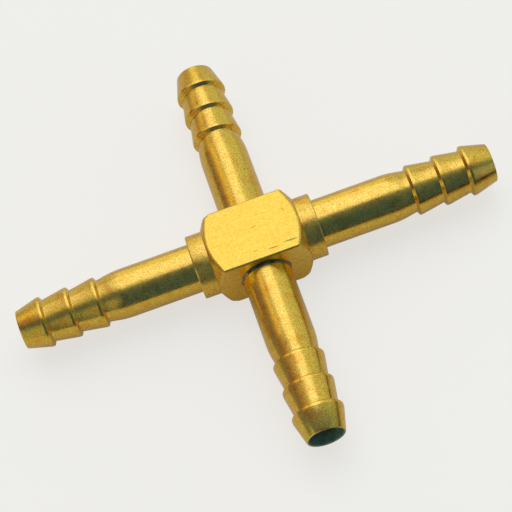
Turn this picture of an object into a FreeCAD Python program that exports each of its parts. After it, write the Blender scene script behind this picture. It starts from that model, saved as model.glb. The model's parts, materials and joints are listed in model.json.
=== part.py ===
# Cross fitting with four hose tails, in millimetres, +Z up.
# The origin is the point where the two bores cross. The run lies along X, the branch along Y,
# and the flats of the square block face +Z and -Z.
import FreeCAD, Part
import os
import Sketcher

# ------------------------------------------------------------------ driving dimensions
SIZES = [
    # the block, a length of square bar whose ends are turned
    ("bar_flats", 9.0, "across the flats of the square bar"),
    ("block_length", 12.7, "collar to collar"),
    ("chamfer_angle", 30.0, "turned chamfer of the block's ends, from a plane across the run"),
    ("collar_step", 0.25, "how far the collar is turned below the flats, on the radius"),
    ("collar_length", 2.15, "length of the collar, the hose stop of a run tail"),
    ("collar_break", 0.15, "broken edge of the collar"),
    # the bore and the walls around it
    ("bore_diameter", 4.5, "bore of all four tails and of the block"),
    ("tube_wall", 1.0, "wall of the plain tube behind the barbs"),
    ("valley_wall", 0.6, "wall at the foot of each barb"),
    ("barb_height", 0.525, "crest of a barb above its valley, on the radius"),
    ("tip_wall", 0.3, "wall at the open end"),
    ("tip_break", 0.1, "broken outer edge of the open end"),
    # lengths along a hose tail
    ("tail_length", 24.0, "hose stop to open end"),
    ("barb_count", 3, "barbs on one tail"),
    ("first_crest", 3.1, "open end to the first crest"),
    ("barb_pitch", 3.75, "crest to crest"),
    ("crest_land", 0.35, "cylindrical land on a crest"),
    ("shoulder_length", 0.3, "steep shoulder that falls from a crest towards the block"),
    ("runout_length", 2.2, "last valley up to the plain tube"),
    # the brazed joint of a branch tail
    ("seat_web", 0.35, "metal left between the socket's floor and the run's bore"),
    ("braze_gap", 0.1, "capillary gap between the tube and its socket, on the radius"),
    ("braze_fillet", 0.3, "leg of the braze fillet at the socket's mouth"),
]

doc = FreeCAD.newDocument("cross_fitting")
sheet = doc.addObject("Spreadsheet::Sheet", "sizes")
for row, (alias, value, note) in enumerate(SIZES, start=1):
    sheet.set(f"A{row}", alias)
    sheet.set(f"B{row}", str(value))
    sheet.set(f"C{row}", note)
    sheet.setAlias(f"B{row}", alias)
doc.recompute()
barb_count = int(sheet.barb_count)

# ------------------------------------------------------------------ places, as expressions on the sheet
FLAT = "sizes.bar_flats / 2"
BLOCK_END = "sizes.block_length / 2"
BORE_R = "sizes.bore_diameter / 2"
TUBE_R = f"{BORE_R} + sizes.tube_wall"
VALLEY_R = f"{BORE_R} + sizes.valley_wall"
CREST_R = f"{VALLEY_R} + sizes.barb_height"
TIP_R = f"{BORE_R} + sizes.tip_wall"
COLLAR_R = f"{FLAT} - sizes.collar_step"
COLLAR_END = f"{BLOCK_END} + sizes.collar_length"
SOCKET_R = f"{TUBE_R} + sizes.braze_gap"
SOCKET_FLOOR = f"{BORE_R} + sizes.seat_web"
# a circle around the bar's corners with room to spare, for the chamfer's cut
OUTSIDE_R = "sizes.bar_flats * 0.8"


def plane_of(body, role):
    """The origin plane of a body that has this role."""
    return next(f for f in body.Origin.OriginFeatures if f.Role == role)


def add_body(label):
    body = doc.addObject("PartDesign::Body", label)
    body.Label = label
    return body


def add_sketch(body, name, role):
    """An empty sketch on one of the body's own origin planes."""
    sketch = body.newObject("Sketcher::SketchObject", name)
    sketch.AttachmentSupport = [(plane_of(body, role), "")]
    sketch.MapMode = "FlatFace"
    doc.recompute()
    return sketch


def value_of(sketch, expression):
    """The number an expression has now, as a start for the sketch's geometry."""
    return float(sketch.evalExpression(expression))


def bind_constraint(sketch, kind, place, name, expression):
    index = sketch.addConstraint(Sketcher.Constraint(kind, *place, value_of(sketch, expression)))
    sketch.renameConstraint(index, name)
    sketch.setExpression(f"Constraints.{name}", expression)


def draw_outline(sketch, corners):
    """A closed outline of straight lines: each corner is a name and its two coordinates."""
    points = [FreeCAD.Vector(value_of(sketch, x), value_of(sketch, y), 0) for _, x, y in corners]
    count = len(corners)
    for index in range(count):
        sketch.addGeometry(Part.LineSegment(points[index], points[(index + 1) % count]), False)
    for index in range(count):
        sketch.addConstraint(Sketcher.Constraint("Coincident", index, 2, (index + 1) % count, 1))
    for index, (name, x, y) in enumerate(corners):
        bind_constraint(sketch, "DistanceX", (-1, 1, index, 1), f"{name}_across", x)
        bind_constraint(sketch, "DistanceY", (-1, 1, index, 1), f"{name}_up", y)


def draw_circle(sketch, name, radius):
    """A circle around the sketch's origin."""
    start = value_of(sketch, radius)
    circle = Part.Circle(FreeCAD.Vector(0, 0, 0), FreeCAD.Vector(0, 0, 1), start)
    index = sketch.addGeometry(circle, False)
    sketch.addConstraint(Sketcher.Constraint("Coincident", index, 3, -1, 1))
    bind_constraint(sketch, "Radius", (index,), name, radius)


def turn(body, kind, name, sketch, axis):
    """A full Revolution or Groove of a sketch about its own H_Axis or V_Axis."""
    feature = body.newObject(f"PartDesign::{kind}", name)
    feature.Profile = sketch
    feature.ReferenceAxis = (sketch, [axis])
    feature.Angle = 360
    sketch.Visibility = False
    body.Tip = feature
    doc.recompute()
    return feature


def mirror(body, name, originals, role):
    """The same features again on the far side of an origin plane."""
    feature = body.newObject("PartDesign::Mirrored", name)
    feature.Originals = originals
    feature.MirrorPlane = (plane_of(body, role), [""])
    body.Tip = feature
    doc.recompute()
    return feature


def cut_through(body, name, sketch):
    """A pocket through the whole body, to both sides of its sketch."""
    feature = body.newObject("PartDesign::Pocket", name)
    feature.Profile = sketch
    feature.Type = "ThroughAll"
    feature.SideType = "Symmetric"
    sketch.Visibility = False
    body.Tip = feature
    doc.recompute()
    return feature


def tail_corners(root, stop):
    """Half section of a hose tail along +X: root is its inner end, stop is where the hose stops.

    The corners run from the hose stop outwards along the tube and the barbs, round the open end
    and back along the bore.
    """
    tip = f"{stop} + sizes.tail_length"
    corners = []
    for barb in reversed(range(barb_count)):
        land = f"{tip} - sizes.first_crest - {barb} * sizes.barb_pitch"
        shoulder = f"{land} - sizes.crest_land"
        valley = f"{shoulder} - sizes.shoulder_length"
        if barb == barb_count - 1:
            corners.append(("runout", f"{valley} - sizes.runout_length", TUBE_R))
        corners.append((f"valley_{barb}", valley, VALLEY_R))
        corners.append((f"shoulder_{barb}", shoulder, CREST_R))
        corners.append((f"land_{barb}", land, CREST_R))
    corners.append(("tip_edge", f"{tip} - sizes.tip_break", TIP_R))
    corners.append(("tip_face", tip, f"{TIP_R} - sizes.tip_break"))
    corners.append(("mouth", tip, BORE_R))
    corners.append(("root_bore", root, BORE_R))
    return corners


# ------------------------------------------------------------------ run body
def make_run_body(label):
    """One length of square bar, turned at both ends to a collar and a hose tail, then bored."""
    body = add_body(label)

    section = add_sketch(body, "bar_section", "YZ_Plane")
    low = f"0 - {FLAT}"
    draw_outline(section, [("a", low, low), ("b", FLAT, low), ("c", FLAT, FLAT), ("d", low, FLAT)])
    bar = body.newObject("PartDesign::Pad", "bar")
    bar.Profile = section
    bar.SideType = "Symmetric"
    bar.setExpression("Length", "sizes.block_length")
    section.Visibility = False
    body.Tip = bar
    doc.recompute()

    # the chamfer is a cone that starts at the collar's root, and it leaves arcs on the flats
    chamfer_sketch = add_sketch(body, "chamfer_section", "XY_Plane")
    chamfer_height = f"({OUTSIDE_R} - ({COLLAR_R}))"
    chamfer_foot = f"{BLOCK_END} - {chamfer_height} * tan(sizes.chamfer_angle * 1 deg)"
    draw_outline(chamfer_sketch, [
        ("start", BLOCK_END, COLLAR_R),
        ("outside", BLOCK_END, OUTSIDE_R),
        ("foot", chamfer_foot, OUTSIDE_R),
    ])
    chamfer = turn(body, "Groove", "corner_chamfer", chamfer_sketch, "H_Axis")

    tail_sketch = add_sketch(body, "tail_section", "XY_Plane")
    draw_outline(tail_sketch, [
        ("root_collar", BLOCK_END, COLLAR_R),
        ("collar_edge", f"{COLLAR_END} - sizes.collar_break", COLLAR_R),
        ("collar_face", COLLAR_END, f"{COLLAR_R} - sizes.collar_break"),
        ("stop", COLLAR_END, TUBE_R),
    ] + tail_corners(BLOCK_END, COLLAR_END))
    tail = turn(body, "Revolution", "collar_and_tail", tail_sketch, "H_Axis")
    mirror(body, "other_end", [chamfer, tail], "YZ_Plane")

    run_bore = add_sketch(body, "run_bore_circle", "YZ_Plane")
    draw_circle(run_bore, "bore", BORE_R)
    cut_through(body, "run_bore", run_bore)
    branch_bore = add_sketch(body, "branch_bore_circle", "XZ_Plane")
    draw_circle(branch_bore, "bore", BORE_R)
    cut_through(body, "branch_bore", branch_bore)

    # a flat-bottomed socket in each side face, for a branch tail
    socket_sketch = add_sketch(body, "socket_section", "XY_Plane")
    draw_outline(socket_sketch, [
        ("floor_bore", BORE_R, SOCKET_FLOOR),
        ("floor", SOCKET_R, SOCKET_FLOOR),
        ("mouth", SOCKET_R, FLAT),
        ("mouth_bore", BORE_R, FLAT),
    ])
    before = body.Shape.Volume
    socket = turn(body, "Groove", "socket", socket_sketch, "V_Axis")
    mirror(body, "other_socket", [socket], "XZ_Plane")
    if body.Shape.Volume >= before:
        raise RuntimeError("the sockets cut nothing")
    return body


# ------------------------------------------------------------------ branch tails and their braze
def make_branch_tail(label, heading):
    """A turned hose tail that seats on its socket's floor. Its heading is degrees from +X."""
    body = add_body(label)
    section = add_sketch(body, f"{label}_section", "XY_Plane")
    draw_outline(section, [("root_tube", SOCKET_FLOOR, TUBE_R)] + tail_corners(SOCKET_FLOOR, FLAT))
    turn(body, "Revolution", f"{label}_turned", section, "H_Axis")
    body.Placement = FreeCAD.Placement(FreeCAD.Vector(0, 0, 0), FreeCAD.Rotation(heading, 0, 0))
    return body


def make_braze_ring(label, heading):
    """The braze that fills the gap around a branch tail, with its fillet at the mouth."""
    body = add_body(label)
    section = add_sketch(body, f"{label}_section", "XY_Plane")
    draw_outline(section, [
        ("floor_tube", SOCKET_FLOOR, TUBE_R),
        ("fillet_tube", f"{FLAT} + sizes.braze_fillet", TUBE_R),
        ("fillet_face", FLAT, f"{SOCKET_R} + sizes.braze_fillet"),
        ("mouth", FLAT, SOCKET_R),
        ("floor_socket", SOCKET_FLOOR, SOCKET_R),
    ])
    turn(body, "Revolution", f"{label}_turned", section, "H_Axis")
    body.Placement = FreeCAD.Placement(FreeCAD.Vector(0, 0, 0), FreeCAD.Rotation(heading, 0, 0))
    return body


REAR = 90
FRONT = -90
pieces = [
    make_run_body("run_body"),
    make_branch_tail("branch_tail_front", FRONT),
    make_branch_tail("branch_tail_rear", REAR),
    make_braze_ring("braze_ring_front", FRONT),
    make_braze_ring("braze_ring_rear", REAR),
]
doc.recompute()

# ------------------------------------------------------------------ checks and files
for item in doc.Objects:
    if "Invalid" in item.State or "Error" in item.State:
        raise RuntimeError(f"{item.Label} did not compute: {item.State}")
for piece in pieces:
    if piece.Shape.isNull() or not piece.Shape.isValid():
        raise RuntimeError(f"{piece.Label} has no valid shape")

os.makedirs("parts", exist_ok=True)
for piece in pieces:
    piece.Shape.exportStep(f"parts/{piece.Label}.step")
    box = piece.Shape.optimalBoundingBox()
    print(f"{piece.Label}: {len(piece.Shape.Solids)} solid, {piece.Shape.Volume:.1f} mm3,"
          f" {box.XLength:.2f} x {box.YLength:.2f} x {box.ZLength:.2f} mm")
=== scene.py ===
# Cross fitting in brass. One square bar is turned at both ends into a hose tail, and two more
# turned tails are brazed into its sides. X is the run, Y the branch, and the bar lies on a flat.
import bmesh
import bpy
import json
from math import atan2, cos, pi, radians, sin, tan
from mathutils import Matrix, Vector


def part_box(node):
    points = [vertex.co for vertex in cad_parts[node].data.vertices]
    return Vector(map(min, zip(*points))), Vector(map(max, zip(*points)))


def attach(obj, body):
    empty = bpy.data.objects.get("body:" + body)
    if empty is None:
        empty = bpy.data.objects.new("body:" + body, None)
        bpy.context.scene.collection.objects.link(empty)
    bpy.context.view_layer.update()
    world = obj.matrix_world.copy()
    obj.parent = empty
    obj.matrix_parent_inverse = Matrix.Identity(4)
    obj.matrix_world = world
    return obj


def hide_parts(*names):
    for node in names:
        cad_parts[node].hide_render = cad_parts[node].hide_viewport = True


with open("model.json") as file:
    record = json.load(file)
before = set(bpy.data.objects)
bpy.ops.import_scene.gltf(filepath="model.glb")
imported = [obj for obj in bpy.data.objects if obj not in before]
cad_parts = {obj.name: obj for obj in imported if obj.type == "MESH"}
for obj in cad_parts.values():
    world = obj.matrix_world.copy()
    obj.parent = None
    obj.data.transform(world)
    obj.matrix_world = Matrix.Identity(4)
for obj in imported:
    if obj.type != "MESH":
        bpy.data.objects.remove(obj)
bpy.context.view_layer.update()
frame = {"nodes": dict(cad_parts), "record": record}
print("frame loaded:", len(frame["nodes"]), "nodes")


def cornersMm(node):
    low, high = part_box(node)
    return low * 1000, high * 1000


# sizes that the frame settles, in millimetres
_, runHigh = cornersMm("run_body")
tailLow, tailHigh = cornersMm("branch_tail_rear")
_, ringHigh = cornersMm("braze_ring_rear")
mounts = {mount["name"]: mount["dims"] for mount in frame["record"]["mounts"]}
flat = runHigh.z  # from the bores' axis to a flat of the bar
runTip = runHigh.x
branchTip = tailHigh.y
socketFloor = tailLow.y
boreRadius = mounts["run_bore"]["r_mm"]
crestRadius = mounts["hose_tail_right"]["r_mm"]
crestLand = mounts["hose_tail_right"]["length_mm"]

# one hose tail, in millimetres, with places along it counted from its open end
hoseTail = {
    "length": branchTip - flat,  # hose stop to open end
    "tubeRadius": 3.25,
    "valleyRadius": 2.85,
    "tipRadius": 2.55,
    "barbs": 3,
    "firstCrest": 3.1,
    "pitch": 3.75,
    "shoulder": 0.3,  # steep side of a barb
    "runout": 2.2,  # last valley up to the plain tube
    "crestRound": 0.05,
    "valleyRound": 0.07,
    "runoutRound": 0.9,
    "tipRound": 0.12,
    "mouthRound": 0.16,
    "tipShade": 0.17,  # how far the bore's painted shade reaches out over the tip's end face
    "steps": 128,  # faces around the axis
}

# how every piece is meshed
meshing = {
    "roundSegments": 4,
    "sameSpot": 1e-7,  # metres, points nearer than this are one point
    "onPlane": 1e-8,  # metres, points nearer than this to a cut lie on it
    "sharpAngle": 50,  # degrees, edges that turn further than this stay sharp
}


def tailCorners(stop):
    # from the plain tube over the barbs to the bore: along the axis, radius, rounding
    tip = stop + hoseTail["length"]
    corners = []
    for barb in reversed(range(hoseTail["barbs"])):
        land = tip - hoseTail["firstCrest"] - barb * hoseTail["pitch"]
        shoulder = land - crestLand
        valley = shoulder - hoseTail["shoulder"]
        if not corners:
            runout = valley - hoseTail["runout"]
            corners.append((runout, hoseTail["tubeRadius"], hoseTail["runoutRound"]))
        corners.append((valley, hoseTail["valleyRadius"], hoseTail["valleyRound"]))
        corners.append((shoulder, crestRadius, hoseTail["crestRound"]))
        corners.append((land, crestRadius, hoseTail["crestRound"]))
    corners.append((tip, hoseTail["tipRadius"], hoseTail["tipRound"]))
    corners.append((tip, boreRadius, hoseTail["mouthRound"]))
    return corners


def turned(corners, steps):
    # a closed outline of (along, radius, rounding), turned about X
    bm = bmesh.new()
    verts = [bm.verts.new((along / 1000, radius / 1000, 0)) for along, radius, rounding in corners]
    for index, vert in enumerate(verts):
        bm.edges.new((verts[index - 1], vert))
    for vert, (along, radius, rounding) in zip(verts, corners):
        if rounding:
            bmesh.ops.bevel(
                bm, geom=[vert], offset=rounding / 1000, offset_type="OFFSET",
                segments=meshing["roundSegments"], profile=0.5, affect="VERTICES",
                clamp_overlap=True, material=-1)
    bmesh.ops.spin(
        bm, geom=bm.verts[:] + bm.edges[:], cent=(0, 0, 0), axis=(1, 0, 0), angle=2 * pi,
        steps=steps, use_merge=True)
    bmesh.ops.remove_doubles(bm, verts=bm.verts, dist=meshing["sameSpot"])
    bmesh.ops.recalc_face_normals(bm, faces=bm.faces)
    return bm


def sliced(bm, geom, point, outwards, slot):
    # cuts away what lies outwards of a plane, and closes the cut with a face of this material slot
    cut = bmesh.ops.bisect_plane(
        bm, geom=geom, dist=meshing["onPlane"], plane_co=point, plane_no=outwards, clear_outer=True)
    rim = [item for item in cut["geom_cut"] if isinstance(item, bmesh.types.BMEdge)]
    for face in bmesh.ops.contextual_create(bm, geom=rim)["faces"]:
        face.material_index = slot


def paintBore(bm, axis, slot):
    # the faces of the bore and of the rim at its mouth get their own material slot, which paints shade on
    # them
    for face in bm.faces:
        middle = face.calc_center_median()
        if (middle - axis * middle.dot(axis)).length * 1000 < boreRadius + hoseTail["tipShade"]:
            face.material_index = slot


def finished(bm, name, materials):
    # the bmesh as an object at the origin, smooth between its sharp edges
    mesh = bpy.data.meshes.new(name)
    bm.to_mesh(mesh)
    bm.free()
    piece = bpy.data.objects.new(name, mesh)
    bpy.context.scene.collection.objects.link(piece)
    for material in materials:
        mesh.materials.append(material)
    mesh.shade_smooth()
    mesh.set_sharp_from_angle(angle=radians(meshing["sharpAngle"]))
    return piece


def evenShading(piece):
    # long faces keep their own direction, so only the roundings between them look bent
    weighted = piece.modifiers.new("weighted normals", "WEIGHTED_NORMAL")
    weighted.mode = "FACE_AREA"
    weighted.keep_sharp = True
    return piece


# the run, a bar with a turned tail at each end
run = {
    "collarStep": 0.25,  # turned this far below the flats
    "collarLength": 2.15,
    "collarRound": 0.14,
    "tubeRoot": 0.06,  # rounding where the tube meets the collar
    "chamferAngle": 30,  # degrees from a plane across the run
    "turningRadius": 7.0,  # clear of the bar's corners
    "edgeRound": 0.28,  # tumbled edges of the flats
    "wornCorners": ((-1, 1, 1), (-1, -1, -1), (1, -1, -1)),  # knocked blunt
    "wornDepth": 0.42,
    "wornSlant": 0.7,  # how far a knock faces along the run, against 1 across it
    "wornReach": 1.5,  # faces within this distance of the corner are cut
    "socketRadius": 3.35,
    "socketSteps": 96,
    "cutterSpare": 1,  # the cutter stands this far out of the block
    "boredSpot": 1e-6,  # metres, the cut leaves points nearer to each other than this
}
collarRadius = flat - run["collarStep"]
hoseStop = runTip - hoseTail["length"]
blockEnd = hoseStop - run["collarLength"]

# the run's material slots
drawnSlot = 0
turnedSlot = 1
drilledSlot = 2


def chamferAt(radius):
    # how far along the run the turned chamfer lies at this radius
    return blockEnd - (radius - collarRadius) * tan(radians(run["chamferAngle"]))


def turnedBar():
    # the whole run as the lathe would leave it, before the bar's flats are there
    right = [
        (chamferAt(run["turningRadius"]), run["turningRadius"], 0),
        (blockEnd, collarRadius, 0),
        (hoseStop, collarRadius, run["collarRound"]),
        (hoseStop, hoseTail["tubeRadius"], run["tubeRoot"]),
    ] + tailCorners(hoseStop)
    left = [(-along, radius, rounding) for along, radius, rounding in reversed(right)]
    bm = turned(right + left, hoseTail["steps"])
    for face in bm.faces:
        face.material_index = turnedSlot
    return bm


def cutFlats(bm):
    # the four flats of the bar, with tumbled edges
    for side in (Vector((0, 1, 0)), Vector((0, -1, 0)), Vector((0, 0, 1)), Vector((0, 0, -1))):
        sliced(bm, bm.verts[:] + bm.edges[:] + bm.faces[:], side * flat / 1000, side, drawnSlot)
    bmesh.ops.recalc_face_normals(bm, faces=bm.faces)
    flats = [face for face in bm.faces if face.material_index == drawnSlot]
    rims = list(dict.fromkeys(edge for face in flats for edge in face.edges))
    tumbled = bmesh.ops.bevel(
        bm, geom=rims, offset=run["edgeRound"] / 1000, offset_type="OFFSET",
        segments=meshing["roundSegments"], profile=0.5, affect="EDGES", clamp_overlap=True, material=-1)
    for face in tumbled["faces"]:
        face.material_index = turnedSlot


def knockCorners(bm):
    # a few corners of the block are blunt
    cornerAlong = chamferAt(flat * 2 ** 0.5)
    for signX, signY, signZ in run["wornCorners"]:
        corner = Vector((signX * cornerAlong, signY * flat, signZ * flat)) / 1000
        outwards = Vector((signX * run["wornSlant"], signY, signZ)).normalized()
        faces = [
            face for face in bm.faces
            if any((vert.co - corner).length * 1000 < run["wornReach"] for vert in face.verts)]
        edges = list(dict.fromkeys(edge for face in faces for edge in face.edges))
        verts = list(dict.fromkeys(vert for face in faces for vert in face.verts))
        sliced(bm, verts + edges + faces, corner - outwards * run["wornDepth"] / 1000, outwards, turnedSlot)
    bmesh.ops.recalc_face_normals(bm, faces=bm.faces)


def socketCutter(materials):
    # the shape of the branch bore with a socket in each side
    beyond = flat + run["cutterSpare"]
    bm = turned([
        (-beyond, 0, 0),
        (-beyond, run["socketRadius"], 0),
        (-socketFloor, run["socketRadius"], 0),
        (-socketFloor, boreRadius, 0),
        (socketFloor, boreRadius, 0),
        (socketFloor, run["socketRadius"], 0),
        (beyond, run["socketRadius"], 0),
        (beyond, 0, 0),
    ], run["socketSteps"])
    # turned half a step as well, so that its edges don't lie on those of the run's bore
    acrossRun = Matrix.Rotation(pi / run["socketSteps"], 3, "Y") @ Matrix.Rotation(pi / 2, 3, "Z")
    bmesh.ops.rotate(bm, verts=bm.verts, cent=(0, 0, 0), matrix=acrossRun)
    for face in bm.faces:
        face.material_index = drilledSlot
    return finished(bm, "socket_cutter", materials)


def boreAcross(body, cutter):
    # the cutter is taken out of the bar, and the bar's mesh is closed and smooth again
    boring = body.modifiers.new("sockets and branch bore", "BOOLEAN")
    boring.operation = "DIFFERENCE"
    boring.solver = "EXACT"
    boring.object = cutter
    bored = bpy.data.meshes.new_from_object(body.evaluated_get(bpy.context.evaluated_depsgraph_get()))
    body.modifiers.clear()
    bpy.data.objects.remove(cutter)
    bm = bmesh.new()
    bm.from_mesh(bored)
    bmesh.ops.remove_doubles(bm, verts=bm.verts, dist=run["boredSpot"])
    bmesh.ops.recalc_face_normals(bm, faces=bm.faces)
    bm.to_mesh(bored)
    bm.free()
    bored.set_sharp_from_angle(angle=radians(meshing["sharpAngle"]))
    body.data = bored


def runBody(materials):
    bm = turnedBar()
    cutFlats(bm)
    knockCorners(bm)
    paintBore(bm, Vector((1, 0, 0)), drilledSlot)
    body = finished(bm, "bar_and_run_tails", materials)
    boreAcross(body, socketCutter(materials))
    return evenShading(body)


# the branch, two tails that are brazed in; side is 1 at the rear and -1 in front
branch = {
    "seatRound": 0.15,  # outer edge of the end that seats in its socket
    "boreSlot": 1,
}


def branchTail(name, side, materials):
    corners = [
        (socketFloor, boreRadius, 0),
        (socketFloor, hoseTail["tubeRadius"], branch["seatRound"]),
    ] + tailCorners(flat)
    bm = turned(corners, hoseTail["steps"])
    bmesh.ops.rotate(bm, verts=bm.verts, cent=(0, 0, 0), matrix=Matrix.Rotation(side * pi / 2, 3, "Z"))
    paintBore(bm, Vector((0, 1, 0)), branch["boreSlot"])
    return evenShading(finished(bm, name, materials))


braze = {
    "hollow": 0.07,  # how near the fillet's hollow comes to the corner
    "filletRound": 0.2,
    "waves": ((3, 0.5), (5, 0.3), (11, 0.2)),  # bumps around the ring, and their shares
    "waveDepth": 0.1,
    "evenFoot": 0.05,  # this share of the fillet, next to the tube, stays even
    "mouthMargin": 0.01,  # points this close to the block's side belong to the fillet
    "steps": 144,
}


def brazeRing(name, side, materials):
    tube = hoseTail["tubeRadius"]
    corners = [
        (socketFloor, tube, 0),
        (ringHigh.y, tube, 0),
        (flat + braze["hollow"], tube + braze["hollow"], braze["filletRound"]),
        (flat, ringHigh.x, 0),
        (flat, run["socketRadius"], 0),
        (socketFloor, run["socketRadius"], 0),
    ]
    bm = turned(corners, braze["steps"])
    # the fillet is uneven, because the braze ran round it by itself
    for vert in bm.verts:
        across = Vector((vert.co.y, vert.co.z))
        proud = (across.length - tube / 1000) / (ringHigh.x - tube) * 1000
        if vert.co.x * 1000 > flat - braze["mouthMargin"] and proud > braze["evenFoot"]:
            turnAngle = atan2(across.y, across.x)
            wave = sum(share * sin(count * turnAngle + count * side) for count, share in braze["waves"])
            shrink = 1 - braze["waveDepth"] * 0.5 * (1 + wave) * proud
            vert.co.y *= shrink
            vert.co.z *= shrink
    bmesh.ops.rotate(bm, verts=bm.verts, cent=(0, 0, 0), matrix=Matrix.Rotation(side * pi / 2, 3, "Z"))
    return evenShading(finished(bm, name, materials))


def colour(hexText):
    # an sRGB hex colour as linear light
    parts = [int(hexText[at:at + 2], 16) / 255 for at in (1, 3, 5)]
    return [part / 12.92 if part <= 0.04045 else ((part + 0.055) / 1.055) ** 2.4 for part in parts] + [1]


def add(tree, kind, settings=None, links=None):
    # one node, its properties and socket values, and what feeds it; sockets go by name, or by number
    # where names repeat, as in a colour Mix, with its share at 0 and its two colours at 6 and 7
    made = tree.nodes.new("ShaderNode" + kind)
    for name, value in (settings or {}).items():
        if isinstance(name, str) and hasattr(made, name):
            setattr(made, name, value)
        else:
            made.inputs[name].default_value = value
    for name, source in (links or {}).items():
        tree.links.new(source, made.inputs[name])
    return made


def ramp(tree, source, stops):
    # a colour ramp with stops of (position, colour)
    made = add(tree, "ValToRGB", None, {"Fac": source})
    elements = made.color_ramp.elements
    while len(elements) < len(stops):
        elements.new(0.5)
    for element, (position, shade) in zip(elements, stops):
        element.position = position
        element.color = colour(shade) if isinstance(shade, str) else shade
    return made


def metal(name):
    # a new material with a metallic shader at its end
    material = bpy.data.materials.new(name)
    material.use_nodes = True
    shader = material.node_tree.nodes["Principled BSDF"]
    shader.inputs["Metallic"].default_value = 1
    return material, material.node_tree, shader


# pattern sizes and depths are in millimetres
turning = {
    "grain": 0.16,  # crystals and fine tarnish, really 0.05 mm, drawn coarser so that they show
    "cloud": 1.5,  # softer patches of tarnish
    "feed": 0.3,  # tool marks, really 0.1 mm apart, drawn coarser so that they show
    "markDepth": 0.0012,
    "grainDepth": 0.0014,
    "brass": [
        (0.28, "#C6922E"), (0.42, "#E4B03A"), (0.52, "#F1C048"), (0.62, "#F8CE52"), (0.76, "#FFE47C")],
    "tarnish": [(0.30, "#EDB25E"), (0.50, "#FFFFFF"), (0.72, "#E4E8B0")],
    "tarnishShare": 0.42,
    "roughness": (0.17, 0.27),
    "firstCutRoughness": 0.1,  # this much rougher on the collars and chamfers
}


def turnedBrass(name, quarterTurns):
    # free-cutting brass, turned and then tumbled: satin and mottled, with faint rings round the tail
    material, tree, shader = metal(name)
    place = add(tree, "TexCoord").outputs["Object"]
    along = add(tree, "Mapping", {"Rotation": (0, 0, quarterTurns * pi / 2)}, {"Vector": place}).outputs[0]
    grain = add(tree, "TexNoise", {
        "Scale": 1000 / turning["grain"], "Detail": 2.0, "Roughness": 0.6}, {"Vector": place}).outputs["Fac"]
    cloud = add(tree, "TexNoise", {
        "Scale": 1000 / turning["cloud"], "Detail": 3.0, "Roughness": 0.55}, {"Vector": place}).outputs["Fac"]
    rings = add(tree, "TexWave", {
        "wave_type": "BANDS", "bands_direction": "X", "Scale": 1000 * pi / 10 / turning["feed"],
        "Distortion": 1.2, "Detail": 2.0, "Detail Scale": 1.5}, {"Vector": along}).outputs["Fac"]
    base = ramp(tree, grain, turning["brass"])
    tarnish = ramp(tree, cloud, turning["tarnish"])
    mixed = add(tree, "Mix", {
        "data_type": "RGBA", "blend_type": "MULTIPLY", 0: turning["tarnishShare"]},
        {6: base.outputs[0], 7: tarnish.outputs[0]}).outputs[2]
    tree.links.new(mixed, shader.inputs["Base Color"])
    low, high = turning["roughness"]
    rough = add(tree, "MapRange", {
        "From Min": 0.35, "From Max": 0.65, "To Min": low, "To Max": high}, {"Value": cloud}).outputs[0]
    # collars and chamfers, which stand proud of the tubes, have the rougher first cut
    flattened = add(tree, "Mapping", {"Scale": (0, 1, 1)}, {"Vector": along}).outputs[0]
    radius = add(tree, "VectorMath", {"operation": "LENGTH"}, {0: flattened}).outputs["Value"]
    firstCut = add(tree, "MapRange", {
        "From Min": crestRadius / 1000, "From Max": collarRadius / 1000,
        "To Max": turning["firstCutRoughness"]}, {"Value": radius})
    rougher = add(tree, "Math", {"operation": "ADD"}, {0: rough, 1: firstCut.outputs[0]}).outputs[0]
    tree.links.new(rougher, shader.inputs["Roughness"])
    marks = add(tree, "Bump", {
        "Strength": 1.0, "Distance": turning["markDepth"] / 1000}, {"Height": rings})
    bumps = add(tree, "Bump", {
        "Strength": 1.0, "Distance": turning["grainDepth"] / 1000},
        {"Height": grain, "Normal": marks.outputs[0]})
    tree.links.new(bumps.outputs[0], shader.inputs["Normal"])
    return material


drawing = {
    "grain": 0.2,  # fine tarnish, really 0.05 mm, drawn coarser so that it shows
    "streak": (4.0, 0.16, 0.16),  # die lines along the bar, really 0.03 mm wide, drawn coarser
    "streakDepth": 0.0008,
    "grainDepth": 0.0008,
    "brass": [(0.28, "#E0AE34"), (0.45, "#EBBA3A"), (0.55, "#F1C13E"), (0.74, "#F8D04F")],
    "lines": [(0.30, "#F0C886"), (0.50, "#FFFFFF"), (0.70, "#FFF9D0")],
    "linesShare": 0.4,
    "roughness": (0.22, 0.3),
    "knockColour": "#8A7A2C",  # the knocks' colour, darker than the flat
    # knocks on the upper flat: x, y, half length, half width, degrees
    "knocks": (
        (4.3, -3.25, 1.1, 0.12, -2), (1.9, -3.45, 0.8, 0.1, 0), (-0.4, -3.1, 0.4, 0.04, 4),
        (0.4, 0.4, 0.5, 0.06, 8), (4.7, 1.4, 0.4, 0.05, -60)),
}


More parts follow.
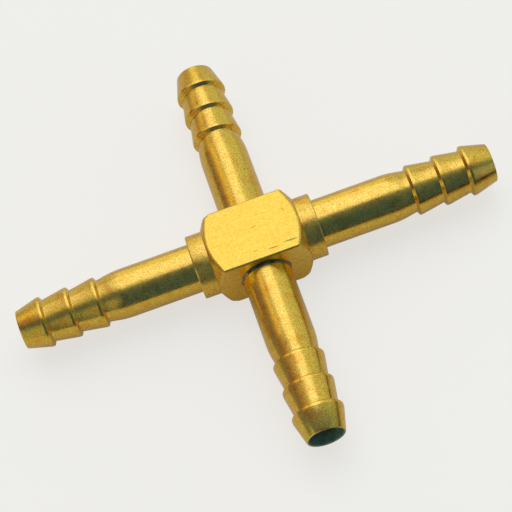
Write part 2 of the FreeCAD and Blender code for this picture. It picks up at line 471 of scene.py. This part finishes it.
def drawnBrass(name):
    # bright-drawn square bar: smooth and even, with die lines along it and a few knocks
    material, tree, shader = metal(name)
    place = add(tree, "TexCoord").outputs["Object"]
    narrow = add(tree, "Mapping", {"Scale": [1000 / size for size in drawing["streak"]]}, {"Vector": place})
    grain = add(tree, "TexNoise", {
        "Scale": 1000 / drawing["grain"], "Detail": 2.0, "Roughness": 0.6}, {"Vector": place}).outputs["Fac"]
    streak = add(tree, "TexNoise", {
        "Scale": 1.0, "Detail": 2.0, "Roughness": 0.5}, {"Vector": narrow.outputs[0]}).outputs["Fac"]
    base = ramp(tree, grain, drawing["brass"])
    lines = ramp(tree, streak, drawing["lines"])
    mixed = add(tree, "Mix", {
        "data_type": "RGBA", "blend_type": "MULTIPLY", 0: drawing["linesShare"]},
        {6: base.outputs[0], 7: lines.outputs[0]}).outputs[2]
    # 1 inside any knock and 0 outside, with a soft edge; each reaches 1 mm down from the flat
    dents = None
    for x, y, length, width, angle in drawing["knocks"]:
        local = add(tree, "Mapping", {
            "vector_type": "TEXTURE", "Location": (x / 1000, y / 1000, flat / 1000),
            "Rotation": (0, 0, radians(angle)), "Scale": (length / 1000, width / 1000, 0.001)},
            {"Vector": place})
        away = add(tree, "VectorMath", {"operation": "LENGTH"}, {0: local.outputs[0]})
        dent = add(tree, "MapRange", {
            "From Min": 0.5, "From Max": 1.1, "To Min": 1.0, "To Max": 0.0},
            {"Value": away.outputs["Value"]}).outputs[0]
        if dents:
            dent = add(tree, "Math", {"operation": "MAXIMUM"}, {0: dents, 1: dent}).outputs[0]
        dents = dent
    worn = add(tree, "Mix", {
        "data_type": "RGBA", 7: colour(drawing["knockColour"])}, {0: dents, 6: mixed}).outputs[2]
    tree.links.new(worn, shader.inputs["Base Color"])
    low, high = drawing["roughness"]
    rough = add(tree, "MapRange", {
        "From Min": 0.3, "From Max": 0.7, "To Min": low, "To Max": high}, {"Value": streak}).outputs[0]
    tree.links.new(rough, shader.inputs["Roughness"])
    dieLines = add(tree, "Bump", {
        "Strength": 1.0, "Distance": drawing["streakDepth"] / 1000}, {"Height": streak})
    bumps = add(tree, "Bump", {
        "Strength": 1.0, "Distance": drawing["grainDepth"] / 1000},
        {"Height": grain, "Normal": dieLines.outputs[0]})
    tree.links.new(bumps.outputs[0], shader.inputs["Normal"])
    return material


drilling = {
    "blotch": 0.8,  # patches in the bore's painted shade
    "boreShade": [(0.35, "#6E8256"), (0.65, "#8A9C6C")],
    "metallic": 0.1,  # little of the metal shows through the painted shade
    "roughness": (0.35, 0.5),
}


def drilledBrass(name):
    # the bores: drilled, and painted dull and dark green as shade inside them and over the tips round them
    material, tree, shader = metal(name)
    place = add(tree, "TexCoord").outputs["Object"]
    boreShade = add(tree, "TexNoise", {
        "Scale": 1000 / drilling["blotch"], "Detail": 2.0}, {"Vector": place}).outputs["Fac"]
    base = ramp(tree, boreShade, drilling["boreShade"])
    tree.links.new(base.outputs[0], shader.inputs["Base Color"])
    shader.inputs["Metallic"].default_value = drilling["metallic"]
    low, high = drilling["roughness"]
    rough = add(tree, "MapRange", {"To Min": low, "To Max": high}, {"Value": boreShade}).outputs[0]
    tree.links.new(rough, shader.inputs["Roughness"])
    return material


brazing = {
    "stain": 0.9,  # patches of flux
    "shadeHeight": (1.5, 3.2),  # between these heights the braze goes from silvery to dark, as painted shade along its top
    "shadeShift": (0.1, -0.12),  # how far that moves its colour along the ramp below
    "fluxAndShade": [(0.38, "#2C4630"), (0.48, "#5A5A30"), (0.56, "#94702E"), (0.74, "#B8A870")],
    "lumpDepth": 0.02,
    "roughness": (0.32, 0.55),
}


def silverBraze(name):
    # silver braze, left as it froze, with brown and silvery spots of flux; the dark line along its top is
    # painted shade
    material, tree, shader = metal(name)
    place = add(tree, "TexCoord").outputs["Object"]
    stain = add(tree, "TexNoise", {
        "Scale": 1000 / brazing["stain"], "Detail": 3.0, "Roughness": 0.6}, {"Vector": place}).outputs["Fac"]
    height = add(tree, "SeparateXYZ", None, {0: place}).outputs["Z"]
    lowest, highest = brazing["shadeHeight"]
    sides, top = brazing["shadeShift"]
    # darker towards the top: painted shade over the tube's root
    shadeOnTop = add(tree, "MapRange", {
        "From Min": lowest / 1000, "From Max": highest / 1000, "To Min": sides, "To Max": top},
        {"Value": height}).outputs[0]
    fluxAndShade = add(tree, "Math", {"operation": "ADD"}, {0: stain, 1: shadeOnTop}).outputs[0]
    base = ramp(tree, fluxAndShade, brazing["fluxAndShade"])
    tree.links.new(base.outputs[0], shader.inputs["Base Color"])
    low, high = brazing["roughness"]
    rough = add(tree, "MapRange", {"To Min": low, "To Max": high}, {"Value": stain}).outputs[0]
    tree.links.new(rough, shader.inputs["Roughness"])
    lumps = add(tree, "Bump", {
        "Strength": 1.0, "Distance": brazing["lumpDepth"] / 1000}, {"Height": stain})
    tree.links.new(lumps.outputs[0], shader.inputs["Normal"])
    return material


turnedAlongX = turnedBrass("turned brass, along the run", 0)
turnedAlongY = turnedBrass("turned brass, along the branch", 1)
drawnBar = drawnBrass("drawn brass bar")
drilled = drilledBrass("drilled brass")
brazeMetal = silverBraze("silver braze")
print("finishes made")

pieces = {
    "run_body": runBody([drawnBar, turnedAlongX, drilled]),
    "branch_tail_front": branchTail("front_hose_tail", -1, [turnedAlongY, drilled]),
    "branch_tail_rear": branchTail("rear_hose_tail", 1, [turnedAlongY, drilled]),
    "braze_ring_front": brazeRing("front_braze_fillet", -1, [brazeMetal]),
    "braze_ring_rear": brazeRing("rear_braze_fillet", 1, [brazeMetal]),
}
for nodeName, piece in pieces.items():
    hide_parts(nodeName)
    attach(piece, "root")
print("pieces made:", {piece.name: len(piece.data.polygons) for piece in pieces.values()})

# floor and light, which stay out of the object
studio = {
    "floorSize": 4.0,  # metres
    "floorGap": 0.02,  # millimetres, so that the bar's flat isn't drawn inside the paper
    "paper": "#F1F0EC",
    "fibreClumps": 900,  # in a metre of paper
    "fibreDepth": 0.02,  # millimetres
    "fibreStrength": 0.2,
    "paperShade": "#A69C7C",  # the paper's own shading, warm to balance the cool light
    "paperGlow": 0.75,  # lifts the paper to a pale sheet, in the camera's view only
    "paperInBrass": "#E8E3C7",  # the paper as the brass reflects it
    "paperInBrassGlow": 0.16,
    "table": "#4A2E1E",  # the bare table in front of the sheet, seen in the brass only
    "tableInBrass": (30, 75),  # millimetres in front of the part, from sheet to table
    "tableSkew": 0.9,  # how much nearer it comes on the right
    "backdrop": "#F4F3F1",
    "softboxAim": (3, 27.5),  # degrees from straight up, to the right and to the rear
    "softboxSpread": (36, 66),  # degrees that it covers, across and along
    "softboxTurn": 18,  # degrees, its rear end to the left
    "softboxDistance": 0.6,
    "softboxLight": (0.33, 0.37, 0.95),  # radiance, cool, because brass turns it pale yellow
    # the room's walls as the brass sees them, from far left to far right
    "walls": [
        (0.000, (0.34, 0.34, 0.45, 1)), (0.015, (0.24, 0.26, 0.42, 1)), (0.067, (0.22, 0.19, 0.36, 1)),
        (0.15, (0.38, 0.28, 0.38, 1)), (0.25, (0.50, 0.48, 0.50, 1)), (0.50, (0.50, 0.55, 0.60, 1)),
        (0.75, (0.62, 0.74, 0.90, 1)), (0.85, (0.66, 0.80, 0.95, 1)), (0.93, (0.62, 0.76, 0.95, 1)),
        (1.00, (0.52, 0.58, 0.80, 1))],
    "unlit": (0.05, 0.12, 0.42, 1),  # the dark end of the room, in front
    # how much of the walls' light there is, from far in front to overhead and behind
    "wallShare": [(0.12, 0), (0.25, 0.07), (0.40, 0.25), (0.46, 0.5), (0.52, 1)],
    # brighter patches, seen from above: middle (right, rear), half sizes, share that is even, light
    "patches": [
        (0.07, 0.36, 0.66, 0.64, 0.25, (0.38, 0.46, 0.90)),  # ceiling
        (0.00, 0.97, 0.30, 0.36, 0.10, (0.52, 0.56, 0.45)),  # window behind
        (-0.56, 0.55, 0.22, 0.32, 0.20, (0.46, 0.44, 0.12)),  # wall behind, on the left
        (-0.57, -0.76, 0.48, 0.40, 0.30, (0.38, 0.36, 0.10)),  # card in front, on the left
        (-0.88, -0.40, 0.16, 0.28, 0.30, (0.90, 1.30, 1.60)),  # lamp on the left
        (0.88, -0.40, 0.16, 0.28, 0.30, (0.10, 0.45, 1.00)),  # lamp on the right
        (0.72, -0.66, 0.32, 0.34, 0.30, (0.34, 0.36, 0.45))],  # card in front, on the right
}


def headingOf(right, rear):
    # the direction that lies this many degrees from straight up
    away = radians(Vector((right, rear)).length)
    bearing = atan2(rear, right)
    return Vector((sin(away) * cos(bearing), sin(away) * sin(bearing), cos(away)))


def studioFloor():
    bm = bmesh.new()
    bmesh.ops.create_grid(
        bm, x_segments=1, y_segments=1, size=studio["floorSize"] / 2,
        matrix=Matrix.Translation((0, 0, -(flat + studio["floorGap"]) / 1000)))
    material = bpy.data.materials.new("matt paper")
    material.use_nodes = True
    tree = material.node_tree
    tree.nodes.clear()
    place = add(tree, "TexCoord").outputs["Object"]
    fibre = add(tree, "TexNoise", {
        "Scale": studio["fibreClumps"], "Detail": 3.0}, {"Vector": place}).outputs["Fac"]
    tooth = add(tree, "Bump", {
        "Strength": studio["fibreStrength"], "Distance": studio["fibreDepth"] / 1000},
        {"Height": fibre}).outputs[0]
    # the pale sheet in the camera's view
    seen = add(tree, "BsdfDiffuse", {"Color": colour(studio["paperShade"])}, {"Normal": tooth})
    glow = add(tree, "Emission", {"Color": colour(studio["paper"]), "Strength": studio["paperGlow"]})
    bright = add(tree, "AddShader", None, {0: seen.outputs[0], 1: glow.outputs[0]})
    # the sheet and the table in front of it, as the brass reflects them
    spot = add(tree, "SeparateXYZ", None, {0: place})
    forwards = add(tree, "Math", {"operation": "MULTIPLY", 1: -1.0}, {0: spot.outputs["Y"]}).outputs[0]
    skewed = add(tree, "Math", {
        "operation": "MULTIPLY_ADD", 1: studio["tableSkew"]}, {0: spot.outputs["X"], 2: forwards}).outputs[0]
    start, end = studio["tableInBrass"]
    bare = add(tree, "MapRange", {
        "interpolation_type": "SMOOTHSTEP", "From Min": start / 1000, "From Max": end / 1000},
        {"Value": skewed}).outputs[0]
    surface = add(tree, "Mix", {
        "data_type": "RGBA", 6: colour(studio["paperInBrass"]), 7: colour(studio["table"])},
        {0: bare}).outputs[2]
    dull = add(tree, "BsdfDiffuse", None, {"Color": surface})
    dullGlow = add(tree, "Emission", {"Strength": studio["paperInBrassGlow"]}, {"Color": surface})
    reflected = add(tree, "AddShader", None, {0: dull.outputs[0], 1: dullGlow.outputs[0]})
    straight = add(tree, "LightPath").outputs["Is Camera Ray"]
    either = add(tree, "MixShader", None, {0: straight, 1: reflected.outputs[0], 2: bright.outputs[0]})
    add(tree, "OutputMaterial", None, {"Surface": either.outputs[0]})
    floor = finished(bm, "studio_floor", [material])


def softbox():
    across, along = (
        2 * studio["softboxDistance"] * tan(radians(angle / 2)) for angle in studio["softboxSpread"])
    light = bpy.data.lights.new("softbox", "AREA")
    light.shape = "RECTANGLE"
    light.size = across
    light.size_y = along
    light.color = studio["softboxLight"]
    light.energy = 4 * across * along  # at 4 watts a square metre the radiance is the colour itself
    lamp = bpy.data.objects.new("softbox", light)
    back = headingOf(*studio["softboxAim"])
    lamp.location = back * studio["softboxDistance"]
    turn = Matrix.Rotation(radians(studio["softboxTurn"]), 3, back)
    lamp.rotation_euler = (turn @ back.to_track_quat("Z", "Y").to_matrix()).to_euler()
    bpy.context.scene.collection.objects.link(lamp)


def room():
    # light walls on both sides and behind, dark in front, and a pale backdrop for the camera
    world = bpy.data.worlds.new("studio room")
    world.use_nodes = True
    tree = world.node_tree
    tree.nodes.clear()
    heading = add(tree, "TexCoord").outputs["Generated"]
    parts = add(tree, "SeparateXYZ", None, {0: heading})
    sideways = add(tree, "MapRange", {"From Min": -1.0}, {"Value": parts.outputs["X"]}).outputs[0]
    walls = ramp(tree, sideways, studio["walls"])
    rearwards = add(tree, "MapRange", {"From Min": -1.0}, {"Value": parts.outputs["Y"]}).outputs[0]
    share = ramp(tree, rearwards, [
        (position, (part, part, part, 1)) for position, part in studio["wallShare"]])
    light = add(tree, "Mix", {
        "data_type": "RGBA", 6: studio["unlit"]}, {0: share.outputs[0], 7: walls.outputs[0]}).outputs[2]
    for right, rear, across, along, even, shine in studio["patches"]:
        # the scale of 1000 flattens the heading, so that its height doesn't count
        local = add(tree, "Mapping", {
            "vector_type": "TEXTURE", "Location": (right, rear, 0), "Scale": (across, along, 1000)},
            {"Vector": heading})
        away = add(tree, "VectorMath", {"operation": "LENGTH"}, {0: local.outputs[0]})
        reach = add(tree, "MapRange", {
            "interpolation_type": "SMOOTHSTEP", "From Min": 1.0, "From Max": even},
            {"Value": away.outputs["Value"]}).outputs[0]
        if rear > 0:  # a patch behind doesn't reach round to the dark front
            reach = add(tree, "Math", {"operation": "MULTIPLY"}, {0: reach, 1: share.outputs[0]}).outputs[0]
        light = add(tree, "Mix", {
            "data_type": "RGBA", "blend_type": "ADD", 7: (*shine, 1)}, {0: reach, 6: light}).outputs[2]
    reflected = add(tree, "Background", None, {"Color": light})
    backdrop = add(tree, "Background", {"Color": colour(studio["backdrop"])})
    straight = add(tree, "LightPath").outputs["Is Camera Ray"]
    either = add(tree, "MixShader", None, {0: straight, 1: reflected.outputs[0], 2: backdrop.outputs[0]})
    add(tree, "OutputWorld", None, {"Surface": either.outputs[0]})
    bpy.context.scene.world = world


studioFloor()
softbox()
room()

view = {
    "azimuth": -1.3,  # degrees, 0 looks along the branch
    "elevation": 61.43,
    "roll": 18.56,
    "distance": 229.8,  # millimetres from the aim point
    "lens": 123.8,  # millimetres, like the sensor
    "aimRight": -0.094,  # millimetres in the view, from the origin to the aim point
    "aimUp": -1.287,
    "sensor": 36,
    "clip": (0.01, 20),  # metres
}


def addCamera():
    azimuth, elevation, roll = (radians(view[key]) for key in ("azimuth", "elevation", "roll"))
    back = Vector((sin(azimuth) * cos(elevation), -cos(azimuth) * cos(elevation), sin(elevation)))
    level = Vector((cos(azimuth), sin(azimuth), 0))
    upright = back.cross(level)
    right = cos(roll) * level - sin(roll) * upright
    up = sin(roll) * level + cos(roll) * upright
    aim = (right * view["aimRight"] + up * view["aimUp"]) / 1000
    data = bpy.data.cameras.new("camera")
    data.lens = view["lens"]
    data.sensor_width = view["sensor"]
    data.clip_start, data.clip_end = view["clip"]
    camera = bpy.data.objects.new("camera", data)
    turn = Matrix((right, up, back)).transposed().to_4x4()
    camera.matrix_world = Matrix.Translation(aim + back * view["distance"] / 1000) @ turn
    bpy.context.scene.collection.objects.link(camera)
    bpy.context.scene.camera = camera


addCamera()
bpy.context.scene.view_settings.view_transform = "Standard"
